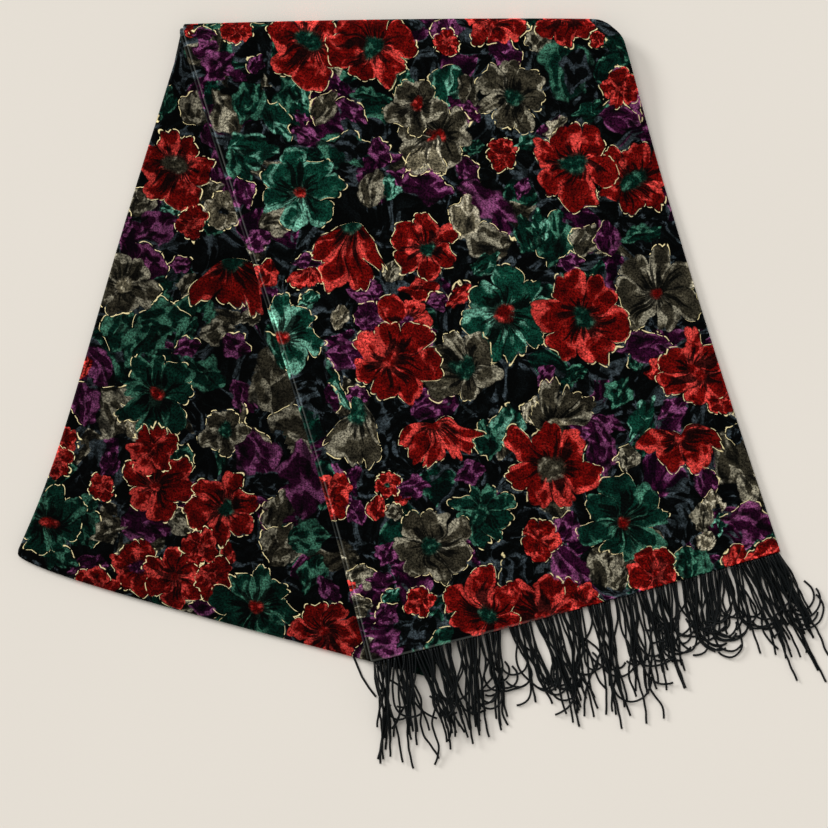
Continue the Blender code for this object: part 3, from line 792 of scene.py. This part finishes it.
# A poppy-like flower. Its scalloped petals are printed light, then dark over that in rounded
# patches that leave rims, feet and folds light, then black in the clefts and in rays round a
# fuzzy heart. A fan is the same flower seen from the side. A broken gold thread runs round it.
def flowerDesign():
    tree, put, (place, shape, _), given = startGroup("flowerDesign", *motifSockets)
    flat, shifted, dye, seed = motifFrame(put, place)
    bent = wobbled(put, flat, shifted, 1.5, 0.46)
    apart = put("SeparateXYZ", (bent,), out=None).outputs
    far = put("VectorMath LENGTH", (bent,), out=1)
    angle = put("Math ARCTAN2", (apart[1], apart[0]))
    made = put("SeparateXYZ", (shape,), out=None).outputs
    petals = put("Math FLOOR", (made[0],))
    heart = put("Math FRACT", (made[0],))
    heart = put("Math MULTIPLY", (heart, 10.0))
    heart = put("Math FLOOR", (heart,))
    # Which petal, and how far across it
    wide = put("Math DIVIDE", (wholeTurn, petals))
    turn = put("Math DIVIDE", (angle, wide))
    turn = put("Math ADD", (turn, 20.0))
    which = put("Math FLOOR", (turn,))
    across = put("Math SUBTRACT", (turn, which))
    across = put("Math SUBTRACT", (across, 0.5))
    which = put("Math MODULO", (which, petals))
    side = put("Math ABSOLUTE", (across,))
    side = put("Math MULTIPLY", (side, 2.0))
    hashed = put("CombineXYZ", (which, seed, 0.0))
    hashed = put("TexWhiteNoise 2D", (hashed,), out=1)
    hashed = put("SeparateColor", (hashed,), out=None).outputs
    # The outline: round petals of uneven size, each with two or three scallops
    rounding = put("Math MULTIPLY", (side, side))
    rounding = put("Math MULTIPLY_ADD", (rounding, -0.93, 1.0))
    rounding = put("Math SQRT", (rounding,))
    notch = put("MapRange", (made[1], 1.8, 3.0, 0.22, 0.38))
    grown = put("MapRange", (made[2], 11.0, 26.0, 0.45, 1.0))
    notch = put("Math MULTIPLY", (notch, grown))
    rounding = put("Math SUBTRACT", (1.0, rounding))
    rounding = put("Math MULTIPLY", (rounding, notch))
    rounding = put("Math SUBTRACT", (0.96, rounding))
    size = put("Math MULTIPLY_ADD", (hashed[0], 0.28, 0.74))
    reach = put("Math MULTIPLY", (rounding, size))
    ripple = put("Math MULTIPLY_ADD", (across, 8.0, hashed[2]))
    ripple = put("Math SINE", (ripple,))
    ripple = put("Math ABSOLUTE", (ripple,))
    reach = put("Math MULTIPLY_ADD", (ripple, 0.07, reach))
    inside = put("Math SUBTRACT", (reach, far))
    # A fan is shaped like a bell: wide at its foot, and drawn in towards its rim
    bell = put("Math ABSOLUTE", (angle,))
    bell = put("Math SUBTRACT", (made[1], bell))
    bell = put("Math MULTIPLY_ADD", (far, -0.9, bell))
    bell = put("Math MULTIPLY_ADD", (bell, 0.9, 0.45))
    inside = put("Math MINIMUM", (inside, bell))
    mask = put("MapRange", (inside, -0.012, 0.02))
    out = put("Math DIVIDE", (far, reach))
    # The dark patch of each petal
    blotch = put("TexNoise 2D", (shifted, None, 3.4, 2.0))
    broad = put("TexNoise 2D", (shifted, None, 1.4, 0.0))
    shift = put("Math MULTIPLY_ADD", (hashed[2], -0.30, 0.15))
    patchX = put("Math MULTIPLY", (put("Math ADD", (across, shift)), 2.6))
    patchY = put("Math MULTIPLY_ADD", (out, 2.9, -1.75))
    patch = put("VectorMath LENGTH", (put("CombineXYZ", (patchX, patchY, 0.0)),), out=1)
    patch = put("Math MULTIPLY_ADD", (blotch, 0.9, patch))
    limit = put("Math MULTIPLY_ADD", (hashed[1], 0.70, 0.30))
    limit = put("Math MULTIPLY_ADD", (broad, 1.9, limit))
    light = put("Math SUBTRACT", (patch, limit))
    light = put("MapRange", (light, 0.0, 0.22))
    # Light rims of uneven width between rounded dark cells
    cells = put("VectorMath SCALE", {0: put("VectorMath ADD", (bent, shifted)), 3: 0.5})
    rim = put("TexVoronoi", {"Vector": cells, "Scale": 2.3}, **cellEdges)
    rimWidth = put("MapRange", (broad, 0.38, 0.62, 0.12, -0.05))
    rim = put("Math SUBTRACT", (rimWidth, rim))
    rim = put("MapRange", (rim, -0.04, 0.06, 0.0, 0.62))
    light = put("Math MAXIMUM", (light, rim))
    tone = put("MapRange", (blotch, 0.30, 0.66, 0.10, 0.52))
    tone = put("Math MULTIPLY_ADD", (light, 0.46, tone))
    petal = dyed(put, dye, tone)
    # Black clefts and rays
    cleft = put("Math SUBTRACT", (1.0, side))
    cleft = put("Math MULTIPLY", (cleft, put("Math MULTIPLY", (far, wide))))
    cleft = put("Math MULTIPLY", (cleft, made[2]))
    cleft = put("MapRange", (cleft, 0.5, 2.4, 0.95, 0.0))
    cleft = put("Math MULTIPLY", (cleft, put("MapRange", (blotch, 0.40, 0.52, 1.0, 0.3))))
    ray = put("Math MULTIPLY", (angle, 5.5))
    ray = put("CombineXYZ", (ray, put("Math MULTIPLY_ADD", (out, 1.0, seed)), 0.0))
    ray = put("TexNoise 2D", (ray, None, 1.0, 1.6))
    rayEnd = put("MapRange", (out, 0.18, 0.78, 0.22, 0.70))
    ray = put("Math SUBTRACT", (ray, rayEnd))
    ray = put("MapRange", (ray, 0.0, 0.12, 0.0, 0.92))
    black = put("Math MAXIMUM", (cleft, ray))
    black = put("Math MULTIPLY", (black, grown))
    petal = put("Mix RGBA", {0: black, 6: petal, 7: linear(blackPile)}, out=2)
    heartTone = put("TexNoise 2D", (shifted, None, 6.0, 1.5))
    heartTone = put("MapRange", (heartTone, 0.42, 0.74, 0.22, 0.85))
    # Red hearts are small, and those of other colours are larger
    heartSize = put("MapRange", (heart, 0.0, 1.0, 0.085, 0.165))
    heartSize = put("Math MULTIPLY_ADD", (blotch, 0.12, heartSize))
    isHeart = put("Math SUBTRACT", (heartSize, far))
    isHeart = put("MapRange", (isHeart, -0.04, 0.05))
    centre = dyed(put, heart, heartTone)
    petal = put("Mix RGBA", {0: isHeart, 6: petal, 7: centre}, out=2)
    shown = put("MapRange", (broad, 0.45, 0.47))
    feed(tree, given, (petal, mask, threadLine(put, inside, made[2], angle, shown)))
    return tree


# A leaf: dark patches between light side veins, with dark streaks over them, and on some leaves a
# gold thread along one side
def leafDesign():
    tree, put, (place, shape, _), given = startGroup("leafDesign", *motifSockets)
    flat, shifted, dye, seed = motifFrame(put, place)
    bent = wobbled(put, flat, shifted, 1.4, 0.60)
    apart = put("SeparateXYZ", (bent,), out=None).outputs
    made = put("SeparateXYZ", (shape,), out=None).outputs
    side = put("Math ABSOLUTE", (apart[1],))
    width = put("Math MULTIPLY", (apart[0], apart[0]))
    width = put("Math MULTIPLY_ADD", (width, -1.0, 1.0))
    width = put("Math MULTIPLY", (width, made[0]))
    inside = put("Math SUBTRACT", (width, side))
    blotch = put("TexNoise 2D", (shifted, None, 1.9, 2.0))
    inside = put("Math MULTIPLY_ADD", (put("Math SUBTRACT", (blotch, 0.5)), 0.30, inside))
    mask = put("MapRange", (inside, -0.03, 0.05))
    # Rounded dark patches stand in pairs along the midrib, with light veins between
    along = put("Math MULTIPLY_ADD", (side, -1.2, put("Math MULTIPLY", (apart[0], 1.15))))
    along = put("Math ADD", (along, 20.0))
    which = put("Math FLOOR", (along,))
    along = put("Math SUBTRACT", (along, which))
    half = put("Math SIGN", (apart[1],))
    hashed = put("CombineXYZ", (which, put("Math MULTIPLY_ADD", (half, 3.0, seed)), 0.0))
    hashed = put("TexWhiteNoise 2D", (hashed,))
    patchX = put("Math MULTIPLY_ADD", (along, 2.3, -1.15))
    patchY = put("Math MULTIPLY_ADD", (side, 4.4, -1.0))
    patch = put("VectorMath LENGTH", (put("CombineXYZ", (patchX, patchY, 0.0)),), out=1)
    patch = put("Math MULTIPLY_ADD", (blotch, 1.6, patch))
    limit = put("Math MULTIPLY_ADD", (hashed, 0.95, 1.25))
    light = put("Math SUBTRACT", (patch, limit))
    light = put("MapRange", (light, 0.0, 0.30))
    tone = put("MapRange", (blotch, 0.35, 0.65, 0.12, 0.46))
    tone = put("Math MULTIPLY_ADD", (light, 0.46, tone))
    streak = put("VectorMath MULTIPLY", (shifted, (1.2, 4.0, 1.0)))
    streak = put("TexNoise 2D", (streak, None, 1.0, 1.0))
    streak = put("MapRange", (streak, 0.52, 0.68, 0.0, 0.85))
    leaf = put("Mix RGBA", {0: streak, 6: dyed(put, dye, tone), 7: linear(blackPile)}, out=2)
    upper = put("Math GREATER_THAN", (apart[1], 0.05))
    some = put("Math MODULO", (seed, 2.0))
    some = put("Math LESS_THAN", (some, 0.5))
    shown = put("Math MULTIPLY", (upper, some))
    feed(tree, given, (leaf, mask, threadLine(put, inside, made[2], apart[0], shown)))
    return tree


# Sizes in mm from stem to stem
groundLook = {"stems": 21, "fine": 11, "stemDark": "#141a1c", "stemLight": "#3b454a"}


# Between the motifs: black in rounded patches over slate, which shows as stems that branch, and
# a few blots of the other dyes
def groundDesign():
    sockets = (("Place", "Vector"),), (("Colour", "Color"),)
    tree, put, (place, _), given = startGroup("groundDesign", *sockets)
    flat = put("VectorMath MULTIPLY", (place, (1, 1, 0)))
    flat = wobbled(put, flat, flat, 0.032, 30.0)
    cells = {"Vector": flat, "Scale": 1 / groundLook["stems"]}
    stem = put("TexVoronoi", cells, **cellEdges)
    cell = put("TexVoronoi", cells, out=1, feature="F1", voronoi_dimensions="2D")
    cell = put("SeparateColor", (cell,), out=None).outputs
    thick = put("TexNoise 2D", (flat, None, 0.06, 1.0))
    stemThick = put("MapRange", (thick, 0.45, 0.76, -0.02, 0.10))
    isStem = put("Math SUBTRACT", (stemThick, stem))
    isStem = put("MapRange", (isStem, -0.025, 0.02))
    fine = put("TexVoronoi", {"Vector": flat, "Scale": 1 / groundLook["fine"]}, **cellEdges)
    fineThick = put("MapRange", (thick, 0.55, 0.70, -0.08, 0.18))
    fine = put("Math SUBTRACT", (fineThick, fine))
    fine = put("MapRange", (fine, -0.03, 0.04, 0.0, 0.9))
    isStem = put("Math MAXIMUM", (isStem, fine))
    pick = put("ValToRGB", (cell[0],), out=None)
    pick.color_ramp.interpolation = "CONSTANT"
    # From which share of the blots on they have which dye: most of them slate
    steps = ((0.0, slate), (0.66, green), (0.79, purple), (0.92, taupe))
    for i, (at, dye) in enumerate(steps):
        element = pick.color_ramp.elements[i] if i < 2 else pick.color_ramp.elements.new(at)
        element.position = at
        element.color = (*[dye / dyeSteps] * 3, 1)
    which = put("Math MULTIPLY", (pick.outputs[0], dyeSteps))
    blotch = put("TexNoise 2D", (flat, None, 0.15, 2.0))
    tone = put("MapRange", (blotch, 0.45, 0.62, 0.0, 0.45))
    glow = put("MapRange", (stem, 0.03, 0.16, 0.5, 0.0))
    glow = put("Math MULTIPLY", (glow, put("MapRange", (blotch, 0.50, 0.58))))
    blot = dyed(put, which, put("Math ADD", (tone, glow)))
    stemTone = put("MapRange", (blotch, 0.35, 0.65))
    dark, light = linear(groundLook["stemDark"]), linear(groundLook["stemLight"])
    stemTone = put("Mix RGBA", {0: stemTone, 6: dark, 7: light}, out=2)
    feed(tree, given, (put("Mix RGBA", {0: isStem, 6: blot, 7: stemTone}, out=2),))
    return tree


# Scales per mm: a tuft of 0.9 mm stands for one of about half a millimetre, so that it shows
velvetLook = {
    "tuft": 0.72, "streak": (0.22, 0.62, 0), "streakTurn": 0.3, "brushed": 0.035,
    "partedPileAndSheen": "#8b8e88", "gold": "#e6d6a2", "sheen": "#c9cdd0",
}


# Velvet with a printed pile. The nap scatters light at grazing angles, so turned edges and the fold are
# painted lighter in the colour as painted highlight, the back half darker as painted shade, and the
# fine tufts break every colour into grains.
def velvetMaterial():
    material, tree, put, shader = startMaterial("printedVelvet")
    cloth = put("Attribute", out=1, attribute_name="ground")
    groups = {"flower": flowerDesign(), "leaf": leafDesign()}
    node = put("Group", out=None, node_tree=groundDesign())
    feed(tree, node, (cloth,))
    colour, gold = node.outputs[0], 0.0
    stack = [("leaf", k) for k in reversed(range(printSlots["leaves"]))]
    stack += [("flower", k) for k in reversed(range(printSlots["flowers"]))]
    for kind, k in stack:
        node = put("Group", out=None, node_tree=groups[kind])
        labels = (f"{kind}{k}", f"{kind}Shape{k}")
        feed(tree, node, [put("Attribute", out=1, attribute_name=label) for label in labels])
        colour = put("Mix RGBA", {0: node.outputs[1], 6: colour, 7: node.outputs[0]}, out=2)
        hidden = put("Math SUBTRACT", (1.0, node.outputs[1]))
        gold = put("Math MULTIPLY", (gold, hidden))
        gold = put("Math MAXIMUM", (gold, node.outputs[2]))
    # Tufts and brushed streaks, times the painted shade and highlight of the nap and the edges
    nap = put("VectorMath MULTIPLY", (cloth, (1, 1, 0)))
    lean = put("SeparateXYZ", (put("Attribute", out=1, attribute_name="nap"),), out=None).outputs
    tuft = put("TexNoise 2D", (nap, None, velvetLook["tuft"], 2.0, 0.8))
    grainAndShading = put("MapRange", (tuft, 0.32, 0.68, 0.12, 1.80))
    streak = put("VectorRotate", (nap, None, None, velvetLook["streakTurn"]), rotation_type="Z_AXIS")
    streak = put("VectorMath MULTIPLY", (streak, velvetLook["streak"]))
    streak = put("MapRange", (put("TexNoise 2D", (streak, None, 1.0, 1.5)), 0.30, 0.70, 0.68, 1.28))
    brushed = put("TexNoise 2D", (nap, None, velvetLook["brushed"], 2.0))
    brushed = put("MapRange", (brushed, 0.3, 0.7, 0.80, 1.18))
    grainAndShading = put("Math MULTIPLY", (grainAndShading, streak))
    grainAndShading = put("Math MULTIPLY", (grainAndShading, brushed))
    # Painted shade and highlight: the nap factor darkens the back half and lightens the fold where it
    # faces out
    grainAndShading = put("Math MULTIPLY", (grainAndShading, lean[0]))
    # Painted highlight: the colour is made up to 2.6 times lighter within 2 mm of the side edges, the
    # hem and the fold
    edge = put("SeparateXYZ", (cloth,), out=2)
    grainAndShading = put("Math MULTIPLY", (grainAndShading, put("MapRange", (edge, 0.0, 2.0, 2.6, 1.0))))
    colour = put("VectorMath SCALE", {0: colour, 3: grainAndShading})
    # Along the edge that lies over the back, the pile parts and the paler ground shows through; the
    # pale grey mixed in is partly painted sheen on the turned edge
    edge = put("MapRange", (edge, 0.2, 1.3, 0.27, 0.0))
    edge = put("Math MULTIPLY", (edge, lean[1]))
    colour = put("Mix RGBA", {0: edge, 6: colour, 7: linear(velvetLook["partedPileAndSheen"])}, out=2)
    colour = put("Mix RGBA", {0: gold, 6: colour, 7: linear(velvetLook["gold"])}, out=2)
    feed(tree, shader, {
        "Base Color": colour,
        "Metallic": put("MapRange", (gold, 0.0, 1.0, 0.0, 0.55)),
        "Roughness": put("MapRange", (gold, 0.0, 1.0, 0.85, 0.42)),
        "Normal": put("Bump", {"Strength": 0.5, "Distance": 0.0004, "Height": tuft}),
        "Sheen Weight": 0.012, "Sheen Roughness": 0.45, "Sheen Tint": linear(velvetLook["sheen"]),
        "Specular IOR Level": 0.03,
    })
    return material


# dark and light: the cord's colour between and on the turns of the twist; the light one is a painted
# highlight
cordLook = {"dark": "#030405", "light": "#0f1415", "twist": 3.9}  # radians a mm


# Twisted rayon cord, black, with a soft gloss on the turns of the twist, where its colour is also
# painted lighter as painted highlight
def cordMaterial():
    material, tree, put, shader = startMaterial("twistedRayonCord")
    along = put("Attribute", out=1, attribute_name="cord")
    apart = put("SeparateXYZ", (along,), out=None).outputs
    # A turn every 1.6 mm, wider than the real one so that it shows
    twist = put("Math MULTIPLY", (apart[0], cordLook["twist"]))
    twist = put("Math MULTIPLY_ADD", (apart[1], wholeTurn, twist))
    twist = put("Math SINE", (twist,))
    twistHighlight = put("MapRange", (twist, -1.0, 1.0))
    dark, light = linear(cordLook["dark"]), linear(cordLook["light"])
    feed(tree, shader, {
        "Base Color": put("Mix RGBA", {0: twistHighlight, 6: dark, 7: light}, out=2),
        "Roughness": put("MapRange", (twistHighlight, 0.0, 1.0, 0.46, 0.32)),
        "Normal": put("Bump", {"Strength": 0.35, "Distance": 0.0002, "Height": twistHighlight}),
        "Specular IOR Level": 0.14,
    })
    return material


velvet, cord = velvetMaterial(), cordMaterial()
for piece in (frontCloth, backCloth, innerCloth):
    piece.data.materials.append(velvet)
for piece in (upperFringe, lowerFringe):
    piece.data.materials.append(cord)

print("floor, light and camera")
studio = {
    "floorSize": 8.0,
    "sky": 0.42, "skyColour": "#fffdf9", "paper": ("#e1dbd2", "#e6e0d7"),
    "low": {"strength": 1.5, "elevation": 27, "azimuth": 148, "soft": 18},
    "high": {"strength": 1.35, "elevation": 62, "azimuth": 118, "soft": 40},
    "cameraHeight": 2.2, "cameraTilt": 1.9,
}
bpy.ops.mesh.primitive_plane_add(size=studio["floorSize"], location=(0, 0, 0))
floor = bpy.context.object
floor.name = "floor"
paper, tree, put, shader = startMaterial("paleMattPaper")
tooth = put("TexNoise", {"Vector": put("TexCoord", out=3), "Scale": 3.0, "Detail": 2.0})
dark, light = [linear(colour) for colour in studio["paper"]]
shade = put("Mix RGBA", {0: tooth, 6: dark, 7: light}, out=2)
feed(tree, shader, {"Base Color": shade, "Roughness": 0.9, "Specular IOR Level": 0.1})
floor.data.materials.append(paper)

world = bpy.data.worlds.new("room")
world.use_nodes = True
background = world.node_tree.nodes["Background"]
feed(world.node_tree, background, (linear(studio["skyColour"]), studio["sky"]))
bpy.context.scene.world = world
for name in ("low", "high"):
    kit = studio[name]
    lamp = bpy.data.lights.new(name + "Window", "SUN")
    lamp.energy = kit["strength"]
    lamp.angle = math.radians(kit["soft"])
    light = bpy.data.objects.new(name + "Window", lamp)
    light.rotation_euler = (math.radians(90 - kit["elevation"]), 0, math.radians(kit["azimuth"] + 90))
    bpy.context.scene.collection.objects.link(light)

camera = bpy.data.objects.new("camera", bpy.data.cameras.new("camera"))
camera.data.lens = 36 * studio["cameraHeight"] / (2 * grid["middle"] * grid["unit"] * mm)
tilt = math.radians(studio["cameraTilt"])
camera.location = (0, -studio["cameraHeight"] * math.sin(tilt), studio["cameraHeight"] * math.cos(tilt))
camera.rotation_euler = (tilt, 0, 0)
bpy.context.scene.collection.objects.link(camera)
bpy.context.scene.camera = camera
bpy.context.scene.view_settings.view_transform = "Standard"

bpy.context.view_layer.update()
